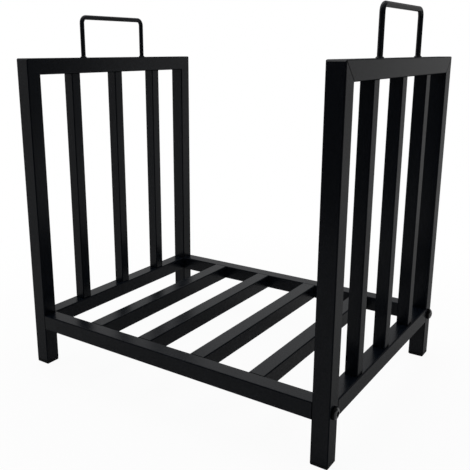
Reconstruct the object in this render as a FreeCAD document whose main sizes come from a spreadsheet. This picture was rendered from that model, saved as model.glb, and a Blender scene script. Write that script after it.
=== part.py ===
import FreeCAD, Part
import math
import os

import Sketcher
from FreeCAD import Placement, Rotation, Vector

# Firewood rack: two welded side panels of square tube, bolted to a welded slatted base.
# Frame: origin on the floor under the middle, X from left panel to right, Y to the rear, Z up.

# Driving dimensions in millimetres, each set once here and read from the sheet everywhere else.
dimensions = (
    ("rack_width", 432, "over the outer faces of the side panels"),
    ("rack_depth", 330, "over the front and rear faces of the posts"),
    ("panel_height", 405, "floor to the top of the top rails"),
    ("floor_clearance", 51, "floor to the underside of the base"),
    ("tube_side", 20, "square tube of the posts, rails and slats"),
    ("tube_wall", 1.2, "its wall"),
    ("tube_corner", 1.5, "its outer corner radius"),
    ("mitre_bevel", 1.8, "bevel ground on the outer edge of a mitred corner"),
    ("bar_side", 15, "square tube of the upright bars"),
    ("bar_wall", 1.0, "its wall"),
    ("bar_corner", 1.2, "its outer corner radius"),
    ("bar_pitch", 82.5, "centre to centre of the upright bars"),
    ("slat_gap", 60, "clear gap between the base slats"),
    ("handle_rod", 6, "diameter of the handle rod"),
    ("handle_span", 120, "centre to centre of the handle legs"),
    ("handle_rise", 52, "top rail to the centre line of the grip"),
    ("handle_bend", 7.5, "bend radius on the rod's centre line"),
    ("bolt_shank", 8, "bolt diameter"),
    ("bolt_length", 40, "bolt length under the head"),
    ("head_width", 14, "diameter of the bolt's round head"),
    ("head_height", 4.4, "height of the head"),
    ("socket_flats", 5, "hexagon socket across flats"),
    ("socket_depth", 2.6, "depth of the hexagon socket"),
    ("hole_play", 0.5, "post hole over the bolt diameter"),
    ("thread_play", 0.2, "nut bore over the bolt diameter"),
    ("nut_plate", 4, "thickness of the plate in a rail's end"),
    ("nut_flats", 13, "nut across flats"),
    ("nut_height", 6.5, "height of the nut behind the plate"),
    ("plate_fit", 0.1, "gap between the plate and the tube's bore, each side"),
    ("foot_cap", 4, "foot below the end of the post"),
    ("foot_bevel", 1.2, "bevel of the foot's corners and lower edge"),
    ("plug_fit", 0.15, "gap between the plug's fins and the tube's bore, each side"),
    ("plug_wall", 1.8, "wall of the hollow plug"),
    ("fin_thickness", 1.2, "thickness of a fin on the plug"),
    ("fin_reach", 1.6, "how far a fin stands out of the plug"),
    ("fin_pitch", 5, "fin to fin"),
    ("fin_count", 3, "fins on a plug"),
)

doc = FreeCAD.newDocument("FirewoodRack")
sheet = doc.addObject("Spreadsheet::Sheet", "Sizes")
for row, (alias, number, meaning) in enumerate(dimensions, start=1):
    sheet.set(f"A{row}", meaning)
    sheet.set(f"B{row}", str(number))
    sheet.setAlias(f"B{row}", alias)
doc.recompute()

# Places and lengths that several pieces share, as expressions on the sheet.
panel_x = "(Sizes.rack_width - Sizes.tube_side) / 2"
corner_y = "(Sizes.rack_depth - Sizes.tube_side) / 2"
base_z = "(Sizes.floor_clearance + Sizes.tube_side / 2)"
half_clear_depth = "(Sizes.rack_depth / 2 - Sizes.tube_side)"
half_clear_width = "(Sizes.rack_width / 2 - Sizes.tube_side)"
tube_bore = "(Sizes.tube_side - 2 * Sizes.tube_wall)"
plug_side = f"({tube_bore} - 2 * Sizes.plug_fit)"
plug_core = f"({plug_side} - 2 * Sizes.fin_reach)"
plug_height = "(Sizes.fin_count * Sizes.fin_pitch)"

# How a piece drawn along its own Z axis is turned to lie in the rack.
upright = Rotation()
upright_turned = Rotation(Vector(0, 0, 1), 180)
front_to_rear = Rotation(Vector(1, 0, 0), -90)
left_to_right = Rotation(Vector(0, 1, 0), 90)
right_to_left = Rotation(Vector(0, 1, 0), -90)

# An edge this near to the floor starts on it.
floor_touch = 0.001

sides = (("left", -1), ("right", 1))
ends = (("front", -1), ("rear", 1))


def new_body(label, turn, x, y, z):
    body = doc.addObject("PartDesign::Body", label)
    body.Label = label
    body.Placement = Placement(Vector(), turn)
    for axis, place in zip("xyz", (x, y, z)):
        body.setExpression(f"Placement.Base.{axis}", place)
    return body


def origin_feature(body, role):
    return next(feature for feature in body.Origin.OriginFeatures if feature.Role == role)


def new_sketch(body, name, plane, height=None):
    sketch = body.newObject("Sketcher::SketchObject", name)
    sketch.AttachmentSupport = [(origin_feature(body, plane), "")]
    sketch.MapMode = "FlatFace"
    if height:
        sketch.setExpression("AttachmentOffset.Base.z", height)
    return sketch


# Outlines are drawn roughly, then pulled to size by constraints bound to the sheet.
def constrain(sketch, *terms):
    return sketch.addConstraint(Sketcher.Constraint(*terms))


def dimension(sketch, name, size, *terms):
    index = constrain(sketch, *terms)
    sketch.renameConstraint(index, name)
    sketch.setExpression(f"Constraints.{name}", size)


def add_outline(sketch, corners):
    first = sketch.GeometryCount
    count = len(corners)
    for n in range(count):
        sketch.addGeometry(Part.LineSegment(corners[n], corners[(n + 1) % count]))
    for n in range(count):
        constrain(sketch, "Coincident", first + n, 2, first + (n + 1) % count, 1)
    return first


def add_square(sketch, name, side):
    half = 8.0
    turns = [Rotation(Vector(0, 0, 1), 90 * quarter) for quarter in range(4)]
    bottom = add_outline(sketch, [turn.multVec(Vector(-half, -half, 0)) for turn in turns])
    for quarter in range(4):
        constrain(sketch, "Vertical" if quarter % 2 else "Horizontal", bottom + quarter)
    constrain(sketch, "Equal", bottom, bottom + 1)
    constrain(sketch, "Symmetric", bottom, 1, bottom + 2, 1, -1, 1)
    dimension(sketch, f"{name}_side", side, "DistanceX", bottom, 1, bottom, 2, 2 * half)


def add_rounded_square(sketch, name, side, corner):
    half, radius = 10.0, 1.0
    flat = half - radius
    first = sketch.GeometryCount
    for quarter in range(4):
        turn = Rotation(Vector(0, 0, 1), 90 * quarter)
        edge = (turn.multVec(Vector(-flat, -half, 0)), turn.multVec(Vector(flat, -half, 0)))
        circle = Part.Circle(turn.multVec(Vector(flat, -flat, 0)), Vector(0, 0, 1), radius)
        start = math.pi / 2 * (quarter - 1)
        sketch.addGeometry(Part.LineSegment(*edge))
        sketch.addGeometry(Part.ArcOfCircle(circle, start, start + math.pi / 2))
    for quarter in range(4):
        line = first + 2 * quarter
        arc = line + 1
        next_line = first + (2 * quarter + 2) % 8
        constrain(sketch, "Tangent", line, 2, arc, 1)
        constrain(sketch, "Tangent", arc, 2, next_line, 1)
        constrain(sketch, "Vertical" if quarter % 2 else "Horizontal", line)
        if quarter:
            constrain(sketch, "Equal", first + 1, arc)
    bottom, right, top, left = (first + 2 * quarter for quarter in range(4))
    constrain(sketch, "Symmetric", bottom, 1, top, 1, -1, 1)
    dimension(sketch, f"{name}_width", side, "DistanceX", left, 1, right, 1, 2 * half)
    dimension(sketch, f"{name}_height", side, "DistanceY", bottom, 1, top, 1, 2 * half)
    dimension(sketch, f"{name}_corner", corner, "Radius", first + 1, radius)


def add_hexagon(sketch, flats):
    radius = 5.0
    turns = [Rotation(Vector(0, 0, 1), 60 * n) for n in range(6)]
    add_outline(sketch, [turn.multVec(Vector(radius, 0, 0)) for turn in turns])
    circle = sketch.addGeometry(Part.Circle(Vector(), Vector(0, 0, 1), radius), True)
    constrain(sketch, "Coincident", circle, 3, -1, 1)
    constrain(sketch, "PointOnObject", 0, 1, -1)
    for n in range(6):
        constrain(sketch, "PointOnObject", n, 1, circle)
        if n:
            constrain(sketch, "Equal", 0, n)
    dimension(sketch, "corner_radius", f"{flats} / sqrt(3)", "Radius", circle, radius)


def add_circle(sketch, diameter, height=None):
    radius = 3.0
    circle = sketch.addGeometry(Part.Circle(Vector(0, radius, 0), Vector(0, 0, 1), radius))
    if height:
        constrain(sketch, "PointOnObject", circle, 3, -2)
        dimension(sketch, "centre_height", height, "DistanceY", -1, 1, circle, 3, radius)
    else:
        constrain(sketch, "Coincident", circle, 3, -1, 1)
    dimension(sketch, "diameter", diameter, "Diameter", circle, 2 * radius)


def pad(body, name, sketch, length):
    feature = body.newObject("PartDesign::Pad", name)
    feature.Profile = sketch
    feature.setExpression("Length", length)
    return feature


def cut(body, name, sketch, depth=None):
    # With no depth the cut runs through everything on both sides of its sketch.
    doc.recompute()
    before = body.Shape.Volume
    feature = body.newObject("PartDesign::Pocket", name)
    feature.Profile = sketch
    if depth:
        feature.setExpression("Length", depth)
    else:
        feature.Type = "ThroughAll"
        feature.SideType = "Symmetric"
    doc.recompute()
    if not body.Shape.Volume < before:
        raise RuntimeError(f"{body.Label}: {name} removed nothing")
    return feature


def revolve(body, name, sketch, axis):
    feature = body.newObject("PartDesign::Revolution", name)
    feature.Profile = sketch
    feature.ReferenceAxis = (sketch, [axis])
    feature.Angle = 360
    return feature


def cut_mitre(body, name, far_end=None):
    # A 45 degree triangle, one tube side larger all round than the corner that it takes off.
    # It leaves the -Y face at full length and trims the +Y face by one tube side.
    # Its last edges turn square off the mitre and take the sharp tip down to a bevel.
    sketch = new_sketch(body, f"{name}_outline", "YZ_Plane")
    reach, bevel = 15.0, 1.0
    up = 1 if far_end else -1
    corners = [Vector(-reach, up * reach, 0), Vector(reach, up * reach, 0), Vector(reach, -up * reach, 0)]
    corners += [Vector(0, 0, 0), Vector(-bevel, -up * bevel, 0), Vector(-reach, -up * bevel, 0)]
    add_outline(sketch, corners)
    for line in (0, 4):
        constrain(sketch, "Horizontal", line)
    for line in (1, 5):
        constrain(sketch, "Vertical", line)
    constrain(sketch, "Equal", 0, 1)
    dimension(sketch, "outer_reach", "1.5 * Sizes.tube_side", "DistanceX", 0, 1, -1, 1, reach)
    dimension(sketch, "inner_reach", "1.5 * Sizes.tube_side", "DistanceX", -1, 1, 0, 2, reach)
    dimension(sketch, "outer_face", "Sizes.tube_side / 2", "DistanceX", 3, 2, -1, 1, bevel)
    dimension(sketch, "tip_width", "Sizes.mitre_bevel / 2", "DistanceX", 3, 2, 3, 1, bevel)
    level, crest, shoulder, tip = (-1, 1), (0, 1), (3, 2), (3, 1)
    crest_height = f"{far_end} + Sizes.tube_side" if far_end else "Sizes.tube_side"
    heights = (
        ("crest_height", crest_height, level, crest, reach),
        ("shoulder_drop", "Sizes.tube_side + Sizes.mitre_bevel", shoulder, crest, reach),
        ("tip_height", "Sizes.mitre_bevel / 2", shoulder, tip, bevel),
    )
    for label, size, low, high, rough in heights:
        first, last = (low, high) if far_end else (high, low)
        dimension(sketch, label, size, "DistanceY", *first, *last, rough)
    cut(body, name, sketch)


def tube(label, stock, length, turn, x, y, z):
    # Hollow square tube along its own Z axis.
    body = new_body(label, turn, x, y, z)
    section = new_sketch(body, f"{label}_section", "XY_Plane")
    add_rounded_square(section, "outside", f"Sizes.{stock}_side", f"Sizes.{stock}_corner")
    add_square(section, "inside", f"Sizes.{stock}_side - 2 * Sizes.{stock}_wall")
    pad(body, f"{label}_length", section, length)
    return body


def post(label, turn, x, y):
    length = "(Sizes.panel_height - Sizes.foot_cap)"
    body = tube(label, "tube", length, turn, x, y, "Sizes.foot_cap")
    cut_mitre(body, f"{label}_mitre", length)
    hole = new_sketch(body, f"{label}_hole_outline", "YZ_Plane")
    add_circle(hole, "Sizes.bolt_shank + Sizes.hole_play", f"{base_z} - Sizes.foot_cap")
    cut(body, f"{label}_hole", hole)
    return body


def top_rail(label, x):
    length = "Sizes.rack_depth"
    height = "Sizes.panel_height - Sizes.tube_side / 2"
    body = tube(label, "tube", length, front_to_rear, x, "-Sizes.rack_depth / 2", height)
    cut_mitre(body, f"{label}_rear_mitre", length)
    cut_mitre(body, f"{label}_front_mitre")
    return body


def base_tube(label, x):
    # Front to rear at the height of the base: a panel's bottom rail or a slat.
    return tube(label, "tube", f"2 * {half_clear_depth}", front_to_rear, x, f"-{half_clear_depth}", base_z)


def cross_rail(label, y):
    return tube(label, "tube", f"2 * {half_clear_width}", left_to_right, f"-{half_clear_width}", y, base_z)


def upright_bar(label, x, y):
    length = "Sizes.panel_height - Sizes.floor_clearance - 2 * Sizes.tube_side"
    return tube(label, "bar", length, upright, x, y, "Sizes.floor_clearance + Sizes.tube_side")


def handle(label, x):
    # Round rod bent to a U and stood on the top rail.
    body = new_body(label, upright, x, "0", "Sizes.panel_height")
    path = new_sketch(body, f"{label}_path", "YZ_Plane")
    half, rise, bend = 60.0, 50.0, 10.0
    straight = half - bend
    shoulder = rise - bend
    left_bend = Part.Circle(Vector(-straight, shoulder, 0), Vector(0, 0, 1), bend)
    right_bend = Part.Circle(Vector(straight, shoulder, 0), Vector(0, 0, 1), bend)
    path.addGeometry(Part.LineSegment(Vector(-half, 0, 0), Vector(-half, shoulder, 0)))
    path.addGeometry(Part.ArcOfCircle(left_bend, math.pi / 2, math.pi))
    path.addGeometry(Part.LineSegment(Vector(-straight, rise, 0), Vector(straight, rise, 0)))
    path.addGeometry(Part.ArcOfCircle(right_bend, 0, math.pi / 2))
    path.addGeometry(Part.LineSegment(Vector(half, shoulder, 0), Vector(half, 0, 0)))
    for line, line_end, arc, arc_end in ((0, 2, 1, 2), (2, 1, 1, 1), (2, 2, 3, 2), (4, 1, 3, 1)):
        constrain(path, "Tangent", line, line_end, arc, arc_end)
    constrain(path, "Vertical", 0)
    constrain(path, "Horizontal", 2)
    constrain(path, "Vertical", 4)
    constrain(path, "Equal", 1, 3)
    constrain(path, "Symmetric", 0, 1, 4, 2, -1, 1)
    constrain(path, "PointOnObject", 0, 1, -1)
    dimension(path, "span", "Sizes.handle_span", "DistanceX", 0, 1, 4, 2, 2 * half)
    dimension(path, "rise", "Sizes.handle_rise", "DistanceY", 0, 1, 2, 1, rise)
    dimension(path, "bend", "Sizes.handle_bend", "Radius", 1, bend)

    section = new_sketch(body, f"{label}_section", "XY_Plane")
    add_circle(section, "Sizes.handle_rod", "Sizes.handle_span / 2")
    doc.recompute()
    rod = body.newObject("PartDesign::AdditivePipe", f"{label}_rod")
    rod.Profile = section
    rod.Spine = (path, [f"Edge{n + 1}" for n in range(path.GeometryCount)])
    return body


def bolt(label, turn, x, y):
    # Round-head bolt turned on its own Z axis, with the underside of the head at zero.
    body = new_body(label, turn, x, y, base_z)
    profile = new_sketch(body, f"{label}_profile", "YZ_Plane")
    shank, head, crown, length = 4.0, 7.0, 4.0, 40.0
    corners = [Vector(0, -length, 0), Vector(shank, -length, 0), Vector(shank, 0, 0)]
    corners += [Vector(head, 0, 0), Vector(head, crown, 0), Vector(0, crown, 0)]
    add_outline(profile, corners)
    for line in (0, 2, 4):
        constrain(profile, "Horizontal", line)
    for line in (1, 3):
        constrain(profile, "Vertical", line)
    for line in (0, 5):
        constrain(profile, "PointOnObject", line, 1, -2)
    constrain(profile, "PointOnObject", 1, 2, -1)
    dimension(profile, "shank", "Sizes.bolt_shank / 2", "DistanceX", -1, 1, 1, 2, shank)
    dimension(profile, "head", "Sizes.head_width / 2", "DistanceX", -1, 1, 3, 1, head)
    dimension(profile, "crown", "Sizes.head_height", "DistanceY", -1, 1, 5, 1, crown)
    dimension(profile, "length", "Sizes.bolt_length", "DistanceY", 0, 1, -1, 1, length)
    revolve(body, f"{label}_turned", profile, "V_Axis")
    socket = new_sketch(body, f"{label}_socket_outline", "XY_Plane", "Sizes.head_height")
    add_hexagon(socket, "Sizes.socket_flats")
    cut(body, f"{label}_socket", socket, "Sizes.socket_depth")
    return body


def rail_nut(label, turn, x, y):
    # Plate that closes the end of a base rail, with the nut welded to its inner face.
    body = new_body(label, turn, x, y, base_z)
    plate = new_sketch(body, f"{label}_plate_outline", "XY_Plane")
    add_square(plate, "plate", f"{tube_bore} - 2 * Sizes.plate_fit")
    pad(body, f"{label}_plate", plate, "Sizes.nut_plate")
    hexagon = new_sketch(body, f"{label}_hexagon", "XY_Plane", "Sizes.nut_plate")
    add_hexagon(hexagon, "Sizes.nut_flats")
    pad(body, f"{label}_nut", hexagon, "Sizes.nut_height")
    bore = new_sketch(body, f"{label}_bore_outline", "XY_Plane")
    add_circle(bore, "Sizes.bolt_shank + Sizes.thread_play")
    cut(body, f"{label}_bore", bore)
    return body


def foot(label, x, y):
    # Bevelled cap flush with the post, and a hollow finned plug that grips the tube's bore.
    body = new_body(label, upright, x, y, "0")
    cap = new_sketch(body, f"{label}_cap_outline", "XY_Plane")
    add_square(cap, "cap", "Sizes.tube_side")
    pad(body, f"{label}_cap", cap, "Sizes.foot_cap")
    core = new_sketch(body, f"{label}_core_outline", "XY_Plane", "Sizes.foot_cap")
    add_square(core, "core", plug_core)
    pad(body, f"{label}_core", core, plug_height)
    first_fin = "Sizes.foot_cap + Sizes.fin_pitch - Sizes.fin_thickness"
    fin_outline = new_sketch(body, f"{label}_fin_outline", "XY_Plane", first_fin)
    add_square(fin_outline, "fin", plug_side)
    fin = pad(body, f"{label}_fin", fin_outline, "Sizes.fin_thickness")
    doc.recompute()
    fins = body.newObject("PartDesign::LinearPattern", f"{label}_fins")
    fins.Originals = [fin]
    fins.Direction = (origin_feature(body, "Z_Axis"), [""])
    fins.Mode = "Spacing"
    fins.setExpression("Offset", "Sizes.fin_pitch")
    fins.setExpression("Occurrences", "Sizes.fin_count")
    body.Tip = fins
    hollow = new_sketch(body, f"{label}_hollow_outline", "XY_Plane", f"Sizes.foot_cap + {plug_height}")
    add_square(hollow, "hollow", f"{plug_core} - 2 * Sizes.plug_wall")
    hollowed = cut(body, f"{label}_hollow", hollow, plug_height)
    edges_on_floor = [
        f"Edge{n}"
        for n, edge in enumerate(hollowed.Shape.Edges, start=1)
        if edge.BoundBox.ZMin < hollowed.Shape.BoundBox.ZMin + floor_touch
    ]
    bevel = body.newObject("PartDesign::Chamfer", f"{label}_bevel")
    bevel.Base = (hollowed, edges_on_floor)
    bevel.setExpression("Size", "Sizes.foot_bevel")
    return body


# Side panels
pieces = []
for side, side_sign in sides:
    x = f"{side_sign} * {panel_x}"
    for end, end_sign in ends:
        turn = upright if end == "front" else upright_turned
        pieces.append(post(f"{side}_{end}_post", turn, x, f"{end_sign} * {corner_y}"))
    pieces.append(top_rail(f"{side}_top_rail", x))
    pieces.append(base_tube(f"{side}_bottom_rail", x))
    for place, step in (("front", -1), ("middle", 0), ("rear", 1)):
        pieces.append(upright_bar(f"{side}_{place}_bar", x, f"{step} * Sizes.bar_pitch"))
    pieces.append(handle(f"{side}_handle", x))

# Base
for end, end_sign in ends:
    pieces.append(cross_rail(f"{end}_rail", f"{end_sign} * {corner_y}"))
slat_places = ("left_outer", "left_inner", "right_inner", "right_outer")
for n, place in enumerate(slat_places):
    step = n - (len(slat_places) - 1) / 2
    pieces.append(base_tube(f"{place}_slat", f"{step} * (Sizes.slat_gap + Sizes.tube_side)"))

# Bolts, nuts and feet at the four corners
for side, side_sign in sides:
    outward, inward = (right_to_left, left_to_right) if side == "left" else (left_to_right, right_to_left)
    for end, end_sign in ends:
        corner = f"{side}_{end}"
        y = f"{end_sign} * {corner_y}"
        pieces.append(bolt(f"{corner}_bolt", outward, f"{side_sign} * Sizes.rack_width / 2", y))
        pieces.append(rail_nut(f"{corner}_rail_nut", inward, f"{side_sign} * {half_clear_width}", y))
        pieces.append(foot(f"{corner}_foot", f"{side_sign} * {panel_x}", y))

doc.recompute()
for item in doc.Objects:
    if "Invalid" in item.State or "Error" in item.State:
        raise RuntimeError(f"{item.Label} failed: {item.State}")
for piece in pieces:
    if piece.Shape.isNull() or not piece.Shape.isValid() or len(piece.Shape.Solids) != 1:
        raise RuntimeError(f"{piece.Label} is not one sound solid")

os.makedirs("parts", exist_ok=True)
for piece in pieces:
    piece.Shape.exportStep(f"parts/{piece.Label}.step")
print(f"{len(pieces)} pieces written")
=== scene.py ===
import math

import bmesh
import bpy
from mathutils import Matrix, Vector


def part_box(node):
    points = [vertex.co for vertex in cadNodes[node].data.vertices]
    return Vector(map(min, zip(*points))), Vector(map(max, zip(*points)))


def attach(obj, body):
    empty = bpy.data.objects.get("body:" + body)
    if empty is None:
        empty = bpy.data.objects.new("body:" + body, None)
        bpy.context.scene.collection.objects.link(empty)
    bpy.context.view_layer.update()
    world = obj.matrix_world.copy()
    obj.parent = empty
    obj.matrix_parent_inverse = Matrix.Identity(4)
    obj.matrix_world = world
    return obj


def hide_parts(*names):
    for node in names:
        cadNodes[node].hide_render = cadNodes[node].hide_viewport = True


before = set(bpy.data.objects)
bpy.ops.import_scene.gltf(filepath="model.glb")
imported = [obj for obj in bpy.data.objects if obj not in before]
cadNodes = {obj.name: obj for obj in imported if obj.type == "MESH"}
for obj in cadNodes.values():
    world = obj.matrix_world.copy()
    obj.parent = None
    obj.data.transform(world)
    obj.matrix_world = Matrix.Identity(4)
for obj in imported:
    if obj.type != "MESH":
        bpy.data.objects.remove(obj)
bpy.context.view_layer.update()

# Black firewood rack: two welded side panels with rod handles, bolted to a slatted base.
# Lengths are in metres, X from left panel to right, Y to the rear, Z up.

scene = bpy.context.scene
scene.view_settings.view_transform = "Standard"
fullTurn = 2 * math.pi
print("rack loaded:", len(cadNodes), "pieces")


def named(*endings):
    return [name for name in cadNodes if name.endswith(endings)]


def middleOf(name):
    low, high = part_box(name)
    return (low + high) / 2


# Where the solids are, so that joint lines, bolts and welds sit on them
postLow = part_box("left_front_post")[0]
outerX = -postLow.x
outerY = -postLow.y
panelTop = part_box("left_top_rail")[1].z
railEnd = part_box("front_rail")[1].x
slatLow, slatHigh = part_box("left_outer_slat")
barLow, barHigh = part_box("left_front_bar")
handleLow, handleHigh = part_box("right_handle")


# Node sums are written as sums: a Value is one socket, and sums on it add their Math nodes
class Value:
    def __init__(self, graph, socket):
        self.graph = graph
        self.socket = socket

    def out(self, name):                                # another output of the same node
        return Value(self.graph, self.socket.node.outputs[name])

    def math(self, operation, *terms):
        return self.graph.node("ShaderNodeMath", {"operation": operation}, dict(enumerate(terms)))

    def __add__(self, other):
        return self.math("ADD", self, other)

    def __sub__(self, other):
        return self.math("SUBTRACT", self, other)

    def __rsub__(self, other):
        return self.math("SUBTRACT", other, self)

    def __mul__(self, other):
        return self.math("MULTIPLY", self, other)

    def __truediv__(self, other):
        return self.math("DIVIDE", self, other)

    def __pow__(self, other):
        return self.math("POWER", self, other)

    def __neg__(self):
        return self.math("MULTIPLY", self, -1.0)

    def __abs__(self):
        return self.math("ABSOLUTE", self)

    __radd__ = __add__
    __rmul__ = __mul__

    def larger(self, other):
        return self.math("MAXIMUM", self, other)

    def smaller(self, other):
        return self.math("MINIMUM", self, other)

    def root(self):
        return self.math("SQRT", self)

    def sine(self):
        return self.math("SINE", self)

    def sign(self):
        return self.math("SIGN", self)

    def ramp(self, start, end, low=0.0, high=1.0):      # eased from low at start to high at end
        sockets = {"Value": self, "From Min": start, "From Max": end, "To Min": low, "To Max": high}
        return self.graph.node("ShaderNodeMapRange", {"interpolation_type": "SMOOTHSTEP"}, sockets)


class Graph:
    def __init__(self, nodeTree):
        self.nodeTree = nodeTree

    def node(self, kind, settings=None, sockets=None, out=0):
        made = self.nodeTree.nodes.new(kind)
        for name, setting in (settings or {}).items():
            setattr(made, name, setting)
        for key, term in (sockets or {}).items():
            if isinstance(term, Value):
                self.nodeTree.links.new(term.socket, made.inputs[key])
            else:
                made.inputs[key].default_value = term
        return Value(self, made.outputs[out]) if made.outputs else None

    def parts(self, vector):                            # its x, y and z
        split = self.node("ShaderNodeSeparateXYZ", None, {0: vector})
        return [split.out(axis) for axis in "XYZ"]


class Finish(Graph):
    def __init__(self, owner):
        owner.use_nodes = True
        super().__init__(owner.node_tree)
        self.nodeTree.nodes.clear()
        self.owner = owner

    def place(self):
        return self.node("ShaderNodeTexCoord", out="Object")

    def facing(self):
        return self.node("ShaderNodeNewGeometry", out="Normal")

    def noise(self, scale, detail):
        sockets = {"Vector": self.place(), "Scale": scale, "Detail": detail}
        return self.node("ShaderNodeTexNoise", None, sockets)

    def blend(self, factor, first, second):             # between two colours
        sockets = {0: factor, 6: first, 7: second}
        return self.node("ShaderNodeMix", {"data_type": "RGBA"}, sockets, out=2)

    def bump(self, strength, depth, height):
        sockets = {"Strength": strength, "Distance": depth, "Height": height}
        return self.node("ShaderNodeBump", None, sockets)

    def close(self, shader, output="ShaderNodeOutputMaterial"):
        self.node(output, None, {"Surface": shader})
        return self.owner


def newFinish(name):
    return Finish(bpy.data.materials.new(name))


def useFinish(material, *names):
    for name in names:
        piece = cadNodes[name]
        piece.data.materials.clear()
        piece.data.materials.append(material)


# In the dictionaries a noise is its scale and detail,
# and a ramp is where it starts and ends, then what it gives there if that isn't 0 and 1
noiseMean = 0.5

# Powder coat: near black underneath, with a weak satin sheen from its clear skin
coat = {
    "black": (0.0012, 0.0021, 0.0038, 1.0),
    "dust": (0.0024, 0.0035, 0.0054, 1.0),
    "worn": (0.020, 0.020, 0.021, 1.0),
    # colour of the painted shade drawn in the seam where two parts meet
    "jointShadeColour": (0.0006, 0.0006, 0.0006, 1.0),
    "driftNoise": (13.0, 3.0),
    "speckleNoise": (420.0, 1.0),
    "peelNoise": (620.0, 2.0),
    "grainNoise": (2300.0, 1.0),
    "driftDust": (0.35, 0.75, 0.0, 0.6),
    "speckleDust": (0.55, 0.75, 0.0, 0.4),
    "gloss": (0.3, 0.7, 0.39, 0.51),
    "sheen": 0.285,
    "sheenDrift": 0.03,
    "sheenMottle": 0.24,                                # orange peel, seen as fine unevenness of the sheen
    "sheenRoughness": 0.27,
    "bump": 0.10,
    "bumpDepth": 0.0004,
    "bumpPeel": 0.7,
    "bumpGrain": 0.3,
    "rubNoise": (95.0, 3.0),                            # wear in patches along the tube's rounded corners
    "rubPatch": (0.5, 0.72),
    "rubCorner": (0.24, 0.64),
    "rubColour": 0.25,
    "rubGloss": 0.1,
    "cornerPaintedShade": (0.18, 0.50, 0.0, 0.75),              # painted shade: less sheen on rounded corners than on flats
    "joint": (0.00035, 0.00075),                        # half the painted shade line's width at a joint, and where it ends
}


def powderCoat(name, jointGap=None, jointDark=0.0, crosswise=False):
    finish = newFinish(name)
    drift = finish.noise(*coat["driftNoise"])
    speckle = finish.noise(*coat["speckleNoise"])
    peel = finish.noise(*coat["peelNoise"])
    grain = finish.noise(*coat["grainNoise"])
    dust = drift.ramp(*coat["driftDust"]) + speckle.ramp(*coat["speckleDust"])
    colour = finish.blend(dust, coat["black"], coat["dust"])
    gloss = drift.ramp(*coat["gloss"])
    sheen = coat["sheen"] + (drift - noiseMean) * coat["sheenDrift"]
    sheen = sheen + (peel - noiseMean) * coat["sheenMottle"]
    if jointGap:                                        # square tube, with rounded corners and joints
        across, along, up = (abs(part) for part in finish.parts(finish.facing()))
        corner = along.smaller(up) if crosswise else across.smaller(along.larger(up))  # faces two ways
        rub = corner.ramp(*coat["rubCorner"]) * finish.noise(*coat["rubNoise"]).ramp(*coat["rubPatch"])
        joint = jointGap(*finish.parts(finish.place())).ramp(*coat["joint"], jointDark, 0.0)
        colour = finish.blend(rub * coat["rubColour"], colour, coat["worn"])
        # painted shade: the seam at each joint is drawn darker
        colour = finish.blend(joint, colour, coat["jointShadeColour"])
        gloss = gloss - rub * coat["rubGloss"]
        # painted shade: the sheen is cut in the joint seams and on the rounded corners
        sheen = sheen * (1.0 - joint.larger(corner.ramp(*coat["cornerPaintedShade"])))
    height = peel * coat["bumpPeel"] + grain * coat["bumpGrain"]
    shader = finish.node("ShaderNodeBsdfPrincipled", None, {
        "Base Color": colour,
        "Roughness": gloss,
        "Normal": finish.bump(coat["bump"], coat["bumpDepth"], height),
        "Specular IOR Level": 0.0,
        "Coat Weight": sheen,
        "Coat Roughness": coat["sheenRoughness"],
    })
    return finish.close(shader)


# How far a point on a tube is from that tube's joints
def mitreGap(x, y, z):                                  # the 45 degree cut on outer faces, or the foot
    cut = abs((outerY - abs(y)) - (panelTop - z)) * math.sqrt(0.5)
    return cut.larger(outerX - abs(x)).smaller(abs(z - postLow.z))


def slatEndGap(x, y, z):                                # bottom rails end where slats do
    return abs(slatHigh.y - abs(y))


def railEndGap(x, y, z):
    return abs(railEnd - abs(x))


def barEndGap(x, y, z):
    return (z - barLow.z).smaller(barHigh.z - z)


# Tube coats: the pieces, their joints, how dark the painted shade at these joints is, and whether the tubes
# lie crosswise
tubeCoats = {
    "mitred_tube_coat": {"on": ("post", "top_rail"), "gap": mitreGap, "dark": 0.8, "crosswise": False},
    "side_tube_coat": {"on": ("bottom_rail",), "gap": slatEndGap, "dark": 0.8, "crosswise": False},
    "slat_tube_coat": {"on": ("slat",), "gap": slatEndGap, "dark": 0.4, "crosswise": False},
    "rail_tube_coat": {"on": ("front_rail", "rear_rail"), "gap": railEndGap, "dark": 0.3, "crosswise": True},
    "bar_tube_coat": {"on": ("bar",), "gap": barEndGap, "dark": 0.7, "crosswise": False},
}
rodCoat = powderCoat("rod_powder_coat")
useFinish(rodCoat, *named("handle"))
for name, tube in tubeCoats.items():
    useFinish(powderCoat(name, tube["gap"], tube["dark"], tube["crosswise"]), *named(*tube["on"]))
print("powder coat on the tubes and handles")


# Foot plugs: moulded black plastic
footPlastic = {
    "black": (0.006, 0.006, 0.0062, 1.0),
    "scuffed": (0.017, 0.016, 0.015, 1.0),
    "scuffNoise": (260.0, 3.0),
    "scuffPatch": (0.45, 0.7),
    "scuffHeight": (0.0, 0.003, 1.0, 0.0),              # from the floor up
    "cloudNoise": (60.0, 2.0),
    "gloss": (0.3, 0.7, 0.50, 0.62),
    "grainNoise": (1500.0, 2.0),
    "bump": 0.15,
    "bumpDepth": 0.0003,
    "specular": 0.08,
}


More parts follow.
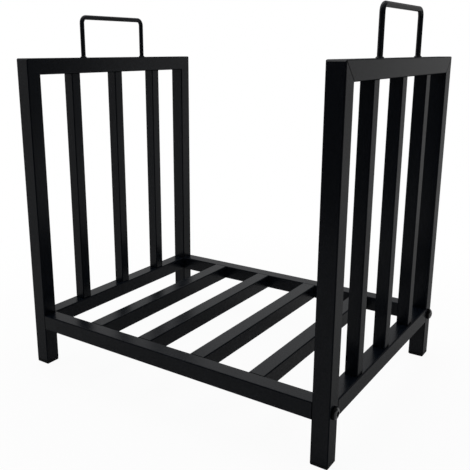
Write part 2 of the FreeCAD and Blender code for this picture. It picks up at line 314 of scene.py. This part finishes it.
def mouldedPlastic(name):
    finish = newFinish(name)
    height = finish.parts(finish.place())[2]
    patch = finish.noise(*footPlastic["scuffNoise"]).ramp(*footPlastic["scuffPatch"])
    scuff = height.ramp(*footPlastic["scuffHeight"]) * patch
    grain = finish.noise(*footPlastic["grainNoise"])
    shader = finish.node("ShaderNodeBsdfPrincipled", None, {
        "Base Color": finish.blend(scuff, footPlastic["black"], footPlastic["scuffed"]),
        "Roughness": finish.noise(*footPlastic["cloudNoise"]).ramp(*footPlastic["gloss"]),
        "Normal": finish.bump(footPlastic["bump"], footPlastic["bumpDepth"], grain),
        "Specular IOR Level": footPlastic["specular"],
    })
    return finish.close(shader)


useFinish(mouldedPlastic("foot_plastic"), *named("foot"))


# Rail nuts: zinc plate, out of sight in the rail ends
zinc = {
    "bright": (0.52, 0.53, 0.54, 1.0),
    "dull": (0.36, 0.37, 0.37, 1.0),
    "bloomNoise": (180.0, 4.0),
    "bloom": (0.4, 0.65),
    "gloss": (0.35, 0.7, 0.26, 0.46),
}


def zincPlate(name):
    finish = newFinish(name)
    bloom = finish.noise(*zinc["bloomNoise"])
    shader = finish.node("ShaderNodeBsdfPrincipled", None, {
        "Base Color": finish.blend(bloom.ramp(*zinc["bloom"]), zinc["bright"], zinc["dull"]),
        "Roughness": bloom.ramp(*zinc["gloss"]),
        "Metallic": 1.0,
    })
    return finish.close(shader)


useFinish(zincPlate("nut_zinc"), *named("rail_nut"))
print("plastic on the feet, zinc on the rail nuts")


# Geometry Nodes: each tree has the piece's sizes as named inputs
class Tree(Graph):
    def __init__(self, name, sizes):
        super().__init__(bpy.data.node_groups.new(name, "GeometryNodeTree"))
        interface = self.nodeTree.interface
        interface.new_socket("Geometry", in_out="INPUT", socket_type="NodeSocketGeometry")
        self.keys = {}
        for label, size in sizes.items():
            kind = "NodeSocketInt" if isinstance(size, int) else "NodeSocketFloat"
            self.keys[label] = interface.new_socket(label, in_out="INPUT", socket_type=kind).identifier
        interface.new_socket("Geometry", in_out="OUTPUT", socket_type="NodeSocketGeometry")
        self.start = self.node("NodeGroupInput")

    def given(self, label):
        return self.start.out(label)

    def place(self):
        return self.node("GeometryNodeInputPosition")

    def vector(self, x=0.0, y=0.0, z=0.0):
        return self.node("ShaderNodeCombineXYZ", None, {"X": x, "Y": y, "Z": z})

    def turn(self, y=0.0, z=0.0):
        return self.node("FunctionNodeEulerToRotation", None, {0: self.vector(y=y, z=z)})

    def randomTurn(self, most, seed):
        sockets = {2: 0.0, 3: most, "Seed": seed}       # 2 and 3 are the least and the most
        return self.turn(z=self.node("FunctionNodeRandomValue", {"data_type": "FLOAT"}, sockets, out=1))

    def circle(self, steps, radius):
        sockets = {"Resolution": steps, "Radius": radius}
        return self.node("GeometryNodeCurvePrimitiveCircle", None, sockets)

    def bead(self, path, steps, radius):                # round section along a path
        sockets = {"Curve": path, "Profile Curve": self.circle(steps, radius), "Fill Caps": True}
        return self.node("GeometryNodeCurveToMesh", None, sockets)

    def twoRows(self, count, across, depth, middle):    # points in a front and a rear row
        sockets = {"Size X": across, "Size Y": depth, "Vertices X": count, "Vertices Y": 2}
        points = self.node("GeometryNodeMeshGrid", None, sockets)
        return self.node("GeometryNodeSetPosition", None, {"Geometry": points, "Offset": middle})

    def corners(self, across, depth, height):
        return self.twoRows(2, across, depth, self.vector(z=height))

    def join(self, *shapes):
        made = self.nodeTree.nodes.new("GeometryNodeJoinGeometry")
        for shape in shapes:
            self.nodeTree.links.new(shape.socket, made.inputs[0])
        return Value(self, made.outputs[0])

    def close(self, shape, material):
        real = self.node("GeometryNodeRealizeInstances", None, {0: shape})
        smooth = self.node("GeometryNodeSetShadeSmooth", None, {0: real})
        done = self.node("GeometryNodeSetMaterial", None, {"Geometry": smooth, "Material": material})
        self.node("NodeGroupOutput", None, {0: done})


def grow(name, build, material, sizes, mesh=None):      # run a tree and keep the result as a plain mesh
    tree = Tree(name, sizes)
    tree.close(build(tree), material)
    seedMesh = mesh or bpy.data.meshes.new(name + "_seed")
    piece = bpy.data.objects.new(name, seedMesh)
    scene.collection.objects.link(piece)
    modifier = piece.modifiers.new(name, "NODES")
    modifier.node_group = tree.nodeTree
    for label, size in sizes.items():
        modifier[tree.keys[label]] = size
    bpy.context.view_layer.update()
    evaluated = piece.evaluated_get(bpy.context.evaluated_depsgraph_get())
    made = bpy.data.meshes.new_from_object(evaluated)
    piece.modifiers.remove(modifier)
    piece.data = made
    bpy.data.meshes.remove(seedMesh)
    made.name = name
    print(name, "has", len(made.polygons), "faces")
    return piece


# Corner bolts: domed heads with a hexagon socket, threaded shanks
cornerBolt = {
    "headRadius": 0.0070,
    "headHeight": 0.0044,
    "rimHeight": 0.0009,
    "rimEdge": 0.0003,
    "crownReach": 0.92,                                 # powers that make the crown flatter than an ellipse
    "crownDrop": 1.15,
    "crownSteps": 9,
    "socketFlats": 0.0050,
    "socketDepth": 0.0026,
    "socketLip": 0.0031,
    "lipEdge": 0.0002,
    "floorEdge": 0.0001,
    "floorShare": 0.96,                                 # of the socket's width is left at its floor
    "drillRadius": 0.0004,                              # drilled point in the middle of it
    "drillDepth": 0.0006,
    "shankRadius": 0.0036,
    "neckLength": 0.004,
    "neckSwell": 0.0004,
    "length": 0.040,
    "endTaper": 0.001,
    "threadRadius": 0.00036,
    "threadPitch": 0.00125,
    "threadGap": 0.001,                                 # below the plain neck
    "threadRunOut": 0.003,
    "threadSteps": 20,
    "threadSides": 4,
    "steps": 48,
    "seed": 7,
    "black": (0.0022, 0.0023, 0.0027, 1.0),
    "dull": (0.0040, 0.0040, 0.0043, 1.0),
    "mottleNoise": (320.0, 3.0),
    "mottleColour": (0.35, 0.7),
    "gloss": 0.45,
    "grainNoise": (1900.0, 2.0),
    "bump": 0.08,
    "bumpDepth": 0.0003,
    "sheen": (0.3, 0.7, 1.0, 0.9),
    "sheenRoughness": 0.13,
    "flankPaintedShade": (0.48, 0.82, 0.06, 1.0),              # painted shade: sheen cut on the flank, full on the crown
}


def boltOutline():                                      # radius, height, and whether the ring is a hexagon
    bolt = cornerBolt
    top = bolt["headHeight"]
    rim = bolt["headRadius"]
    rimHeight = bolt["rimHeight"]
    lip = bolt["socketLip"]
    half = bolt["socketFlats"] / 2
    floor = top - bolt["socketDepth"]
    shank = bolt["shankRadius"]
    neck = shank + bolt["neckSwell"]
    crown = []
    for step in range(1, bolt["crownSteps"] + 1):       # from the socket's lip down to the rim
        angle = fullTurn / 4 * (step / bolt["crownSteps"])
        radius = lip + (rim - lip) * math.sin(angle) ** bolt["crownReach"]
        height = rimHeight + (top - rimHeight) * math.cos(angle) ** bolt["crownDrop"]
        crown.append((radius, height, False))
    return [
        (bolt["drillRadius"], floor - bolt["drillDepth"], False),
        (half * bolt["floorShare"], floor, True),
        (half, floor + bolt["floorEdge"], True),
        (half, top - bolt["lipEdge"], True),
        (lip, top, False),
        *crown,
        (rim, bolt["rimEdge"], False),
        (rim - bolt["rimEdge"], 0.0, False),
        (neck, 0.0, False),
        (neck, -bolt["neckLength"], False),
        (shank, -bolt["neckLength"] - bolt["neckSwell"], False),
        (shank, -bolt["length"] + bolt["endTaper"], False),
        (shank - bolt["endTaper"], -bolt["length"], False),
    ]


def hexagonReach(turn):                                 # how far its edge is out, for a flat 1 away
    fromFlat = (turn + fullTurn / 12) % (fullTurn / 6) - fullTurn / 12
    return 1 / math.cos(fromFlat)


def boltMesh():
    steps = cornerBolt["steps"]
    shape = bmesh.new()
    rings = []
    for radius, height, hexagon in boltOutline():
        ring = []
        for step in range(steps):
            turn = fullTurn * step / steps
            reach = radius * hexagonReach(turn) if hexagon else radius
            ring.append(shape.verts.new((reach * math.cos(turn), reach * math.sin(turn), height)))
        rings.append(ring)
    for upper, lower in zip(rings, rings[1:]):
        for step in range(steps):
            after = (step + 1) % steps
            shape.faces.new((upper[step], lower[step], lower[after], upper[after]))
    shape.faces.new(rings[0])
    shape.faces.new(list(reversed(rings[-1])))
    bmesh.ops.recalc_face_normals(shape, faces=shape.faces)
    mesh = bpy.data.meshes.new("bolt_seed")
    shape.to_mesh(mesh)
    shape.free()
    return mesh


def boltFinish(name):
    finish = newFinish(name)
    mottle = finish.noise(*cornerBolt["mottleNoise"])
    grain = finish.noise(*cornerBolt["grainNoise"])
    outward = abs(finish.parts(finish.facing())[0])
    dulled = mottle.ramp(*cornerBolt["mottleColour"])
    shader = finish.node("ShaderNodeBsdfPrincipled", None, {
        "Base Color": finish.blend(dulled, cornerBolt["black"], cornerBolt["dull"]),
        "Roughness": cornerBolt["gloss"],
        "Normal": finish.bump(cornerBolt["bump"], cornerBolt["bumpDepth"], grain),
        "Specular IOR Level": 0.0,
        # painted shade on the head's flank, by which way the surface faces
        "Coat Weight": mottle.ramp(*cornerBolt["sheen"]) * outward.ramp(*cornerBolt["flankPaintedShade"]),
        "Coat Roughness": cornerBolt["sheenRoughness"],
    })
    return finish.close(shader)


def boltTree(tree):
    helix = tree.node("GeometryNodeCurveSpiral", None, {
        "Resolution": cornerBolt["threadSteps"],
        "Rotations": tree.given("Turns"),
        "Start Radius": tree.given("Shank Radius"),
        "End Radius": tree.given("Shank Radius"),
        "Height": -(tree.given("Turns") * tree.given("Pitch")),
        "Reverse": True,
    })
    thread = tree.bead(helix, cornerBolt["threadSides"], tree.given("Thread Radius"))
    down = tree.vector(z=tree.given("Thread Start"))
    thread = tree.node("GeometryNodeTransform", None, {"Geometry": thread, "Translation": down})
    bolt = tree.join(tree.given("Geometry"), thread)
    corners = tree.corners(tree.given("Across"), tree.given("Depth"), tree.given("Height"))
    outwards = tree.turn(y=tree.parts(tree.place())[0].sign() * (fullTurn / 4))
    stopped = tree.randomTurn(fullTurn / 6, cornerBolt["seed"])  # each socket at its own angle
    sockets = {"Rotation": outwards, "Rotate By": stopped}
    turned = tree.node("FunctionNodeRotateRotation", {"rotation_space": "LOCAL"}, sockets)
    sockets = {"Points": corners, "Instance": bolt, "Rotation": turned}
    return tree.node("GeometryNodeInstanceOnPoints", None, sockets)


threadLength = cornerBolt["length"] - cornerBolt["neckLength"] - cornerBolt["threadRunOut"]
frontBolt = middleOf("right_front_bolt")
cornerBolts = grow("corner_bolts", boltTree, boltFinish("bolt_black"), {
    "Across": 2 * outerX,
    "Depth": middleOf("right_rear_bolt").y - frontBolt.y,
    "Height": frontBolt.z,
    "Pitch": cornerBolt["threadPitch"],
    "Thread Radius": cornerBolt["threadRadius"],
    "Shank Radius": cornerBolt["shankRadius"],
    "Thread Start": -cornerBolt["neckLength"] - cornerBolt["threadGap"],
    "Turns": int(threadLength / cornerBolt["threadPitch"]),
}, boltMesh())
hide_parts(*named("_bolt"))
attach(cornerBolts, "root")


# Handle welds: a rippled bead round the foot of each leg
handleWeld = {
    "ringRadius": 0.0030,
    "ringSteps": 96,
    "beadRadius": 0.0013,
    "beadSides": 14,
    "ripples": 11,
    "rippleDepth": 0.16,
    "wanderScale": 420.0,                               # makes the bead's thickness uneven
    "lift": 0.0002,
    "seed": 3,
}


def handleWeldTree(tree):
    ring = tree.circle(handleWeld["ringSteps"], tree.given("Ring Radius"))
    along = tree.node("GeometryNodeSplineParameter")
    wave = (along * fullTurn * tree.given("Ripples")).sine()
    wander = tree.node("ShaderNodeTexNoise", None, {"Scale": handleWeld["wanderScale"]})
    swell = wave * tree.given("Ripple Depth") + (wander + (1.0 - noiseMean))
    ring = tree.node("GeometryNodeSetCurveRadius", None, {"Curve": ring, "Radius": swell})
    bead = tree.bead(ring, handleWeld["beadSides"], tree.given("Bead Radius"))
    feet = tree.corners(tree.given("Across"), tree.given("Span"), tree.given("Height"))
    turned = tree.randomTurn(fullTurn, handleWeld["seed"])
    sockets = {"Points": feet, "Instance": bead, "Rotation": turned}
    return tree.node("GeometryNodeInstanceOnPoints", None, sockets)


rodThickness = handleHigh.x - handleLow.x
handleWelds = grow("handle_welds", handleWeldTree, rodCoat, {
    "Across": handleLow.x + handleHigh.x,
    "Span": handleHigh.y - handleLow.y - rodThickness,
    "Height": handleLow.z + handleWeld["lift"],
    "Ring Radius": handleWeld["ringRadius"],
    "Bead Radius": handleWeld["beadRadius"],
    "Ripples": handleWeld["ripples"],
    "Ripple Depth": handleWeld["rippleDepth"],
})
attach(handleWelds, "root")


# Slat welds: short beads under the base, where each slat meets a rail
slatWeld = {
    "length": 0.015,
    "steps": 54,
    "beadRadius": 0.0014,
    "beadSides": 12,
    "rippleStep": 0.0017,
    "rippleDepth": 0.15,
    "endPower": 0.4,                                    # lower is blunter
    "lift": 0.0004,
}


def slatWeldTree(tree):
    end = tree.vector(x=tree.given("Length") * 0.5)
    start = tree.vector(x=tree.given("Length") * -0.5)
    run = tree.node("GeometryNodeCurvePrimitiveLine", None, {"Start": start, "End": end})
    run = tree.node("GeometryNodeResampleCurve", None, {"Curve": run, "Count": slatWeld["steps"]})
    along = tree.node("GeometryNodeSplineParameter")
    wave = (tree.parts(tree.place())[0] / tree.given("Ripple Step") * fullTurn).sine()
    taper = (along * (fullTurn / 2)).sine() ** slatWeld["endPower"]
    swell = taper * (wave * tree.given("Ripple Depth") + 1.0)
    run = tree.node("GeometryNodeSetCurveRadius", None, {"Curve": run, "Radius": swell})
    bead = tree.bead(run, slatWeld["beadSides"], tree.given("Bead Radius"))
    reach = tree.given("Pitch") * (tree.given("Slats") - 1.0)
    middle = tree.vector(x=tree.given("First Slat") + reach * 0.5, z=tree.given("Height"))
    slatEnds = tree.twoRows(tree.given("Slats"), reach, tree.given("Depth"), middle)
    return tree.node("GeometryNodeInstanceOnPoints", None, {"Points": slatEnds, "Instance": bead})


firstSlat = middleOf("left_outer_slat")
slatWelds = grow("slat_welds", slatWeldTree, rodCoat, {
    "First Slat": firstSlat.x,
    "Pitch": middleOf("left_inner_slat").x - firstSlat.x,
    "Slats": len(named("_slat")),
    "Depth": slatHigh.y - slatLow.y,
    "Height": slatLow.z + slatWeld["lift"],
    "Length": slatWeld["length"],
    "Bead Radius": slatWeld["beadRadius"],
    "Ripple Step": slatWeld["rippleStep"],
    "Ripple Depth": slatWeld["rippleDepth"],
})
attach(slatWelds, "root")


# Studio: white surround and a pale floor, a dark drape and three soft lamps
studio = {
    "white": {"Color": (1.0, 1.0, 1.0, 1.0), "Strength": 1.0},
    "floorSize": 14.0,
    "floorPale": (0.62, 0.62, 0.62, 1.0),
    "seen": (0.28, 0.75, 0.945, 1.0),                   # how white the camera sees the floor, near and far
    "beside": (0.10, 0.45, 0.0, 0.45),                  # how white it glows in the coat's reflections beside the rack: painted glow
    "behind": (0.0, 0.6),                               # and behind the rack
    "behindFar": (0.45, 1.3),                           # where it is whiter further away
    "behindLeast": 0.20,
}


def buildSurround():
    world = bpy.data.worlds.new("white_surround")
    scene.world = world
    finish = Finish(world)
    shine = finish.node("ShaderNodeBackground", None, studio["white"])
    finish.close(shine, "ShaderNodeOutputWorld")


def stageMesh(name, points, faces, material):
    mesh = bpy.data.meshes.new(name)
    mesh.from_pydata(points, [], faces)
    mesh.materials.append(material)
    thing = bpy.data.objects.new(name, mesh)
    scene.collection.objects.link(thing)
    return thing


def floorFinish(name):
    finish = newFinish(name)
    matt = finish.node("ShaderNodeBsdfDiffuse", None, {"Color": studio["floorPale"]})
    glow = finish.node("ShaderNodeEmission", None, studio["white"])
    ray = finish.node("ShaderNodeLightPath")
    direct = ray.out("Is Camera Ray")
    mirrored = ray.out("Is Glossy Ray").larger(ray.out("Is Transmission Ray"))
    x, y, z = finish.parts(finish.place())
    away = (x * x + y * y).root()
    seen = away.ramp(*studio["seen"])
    beside = abs(x).ramp(*studio["beside"])
    behind = y.ramp(*studio["behind"]) * away.ramp(*studio["behindFar"]).larger(studio["behindLeast"])
    # the floor glows white to the camera further out, and as painted glow in the coat's reflections beside
    # and behind the rack; elsewhere it is matt with real shadow
    white = (direct * seen).larger(mirrored * beside.larger(behind))
    return finish.close(finish.node("ShaderNodeMixShader", None, {0: white, 1: matt, 2: glow}))


def buildFloor():
    half = studio["floorSize"] / 2
    points = [(-half, -half, 0), (half, -half, 0), (half, half, 0), (-half, half, 0)]
    floor = stageMesh("pale_floor", points, [(0, 1, 2, 3)], floorFinish("pale_floor"))


# Dark drape behind the camera and to its right, which the camera doesn't see but the coat mirrors: painted
# shade in its reflections
drapeCloth = {
    "panels": (                                         # two corners from above, and the hem's height
        ((-0.98, -0.98), (1.30, -0.98), 0.0),
        ((1.30, -0.98), (1.30, 0.45), 0.38),
        ((1.30, 0.45), (1.30, 1.50), 0.0),
    ),
    "top": 1.50,
    "dark": (0.17, 0.17, 0.175, 1.0),
    "pale": (0.60, 0.60, 0.60, 1.0),
    "fade": (-0.95, -0.40),                             # pale at its left end
}


def drapeFinish(name):
    finish = newFinish(name)
    x = finish.parts(finish.place())[0]
    shade = finish.blend(x.ramp(*drapeCloth["fade"]), drapeCloth["pale"], drapeCloth["dark"])
    return finish.close(finish.node("ShaderNodeBsdfDiffuse", None, {"Color": shade}))


def buildDrape():
    points = []
    faces = []
    for left, right, hem in drapeCloth["panels"]:
        first = len(points)
        points += [(*left, hem), (*left, drapeCloth["top"]), (*right, hem), (*right, drapeCloth["top"])]
        faces.append((first, first + 2, first + 3, first + 1))
    drape = stageMesh("dark_drape", points, faces, drapeFinish("dark_drape"))
    drape.visible_camera = False


# Soft lamps: where each hangs, the point it faces, its width and height, its power in watts
lamps = {
    "overhead": {"place": (-0.35, 0.25, 1.75), "aim": (0.0, 0.0, 0.15), "size": (1.3, 1.0), "power": 11.0},
    "frontLeft": {"place": (-1.20, -1.30, 1.95), "aim": (0.0, 0.0, 0.2), "size": (1.0, 0.8), "power": 8.0},
    "rearLeft": {"place": (-1.10, 1.50, 1.05), "aim": (0.0, 0.0, 0.1), "size": (1.4, 1.0), "power": 1.6},
}


def buildLamps():
    for name, lamp in lamps.items():
        light = bpy.data.lights.new(name, "AREA")
        light.shape = "RECTANGLE"
        light.size, light.size_y = lamp["size"]
        light.energy = lamp["power"]
        holder = bpy.data.objects.new(name, light)
        scene.collection.objects.link(holder)
        place = Vector(lamp["place"])
        holder.location = place
        holder.rotation_euler = (Vector(lamp["aim"]) - place).to_track_quat("-Z", "Y").to_euler()


buildSurround()
buildFloor()
buildDrape()
buildLamps()
print("studio ready")


# Camera at the picture's viewpoint, found from the rack's own edges in it
photoCamera = {
    "place": (0.447851, -0.707577, 0.411447),
    "turn": 0.611045,                                   # to the left, from straight to the rear
    "tilt": 0.248067,                                   # down from level
    "roll": 0.004028,
    "frame": 470.0,                                     # the picture's side, in pixels
    "focal": 653.356,                                   # in the same pixels
    "middle": (206.094, 217.616),                       # of the lens, from the picture's top left corner
    "sensor": 36.0,
    "clip": (0.01, 60.0),
}


def buildCamera():
    shot = photoCamera
    frameSide = shot["frame"]
    lens = bpy.data.cameras.new("photo_camera")
    lens.sensor_width = shot["sensor"]
    lens.lens = shot["sensor"] * shot["focal"] / frameSide
    lens.shift_x = (frameSide / 2 - shot["middle"][0]) / frameSide
    lens.shift_y = (shot["middle"][1] - frameSide / 2) / frameSide
    lens.clip_start, lens.clip_end = shot["clip"]
    camera = bpy.data.objects.new("photo_camera", lens)
    scene.collection.objects.link(camera)
    turned = Matrix.Rotation(shot["turn"], 4, "Z")
    tilted = Matrix.Rotation(fullTurn / 4 - shot["tilt"], 4, "X")
    rolled = Matrix.Rotation(-shot["roll"], 4, "Z")
    camera.matrix_world = Matrix.Translation(shot["place"]) @ turned @ tilted @ rolled
    scene.camera = camera


buildCamera()
print("camera ready")
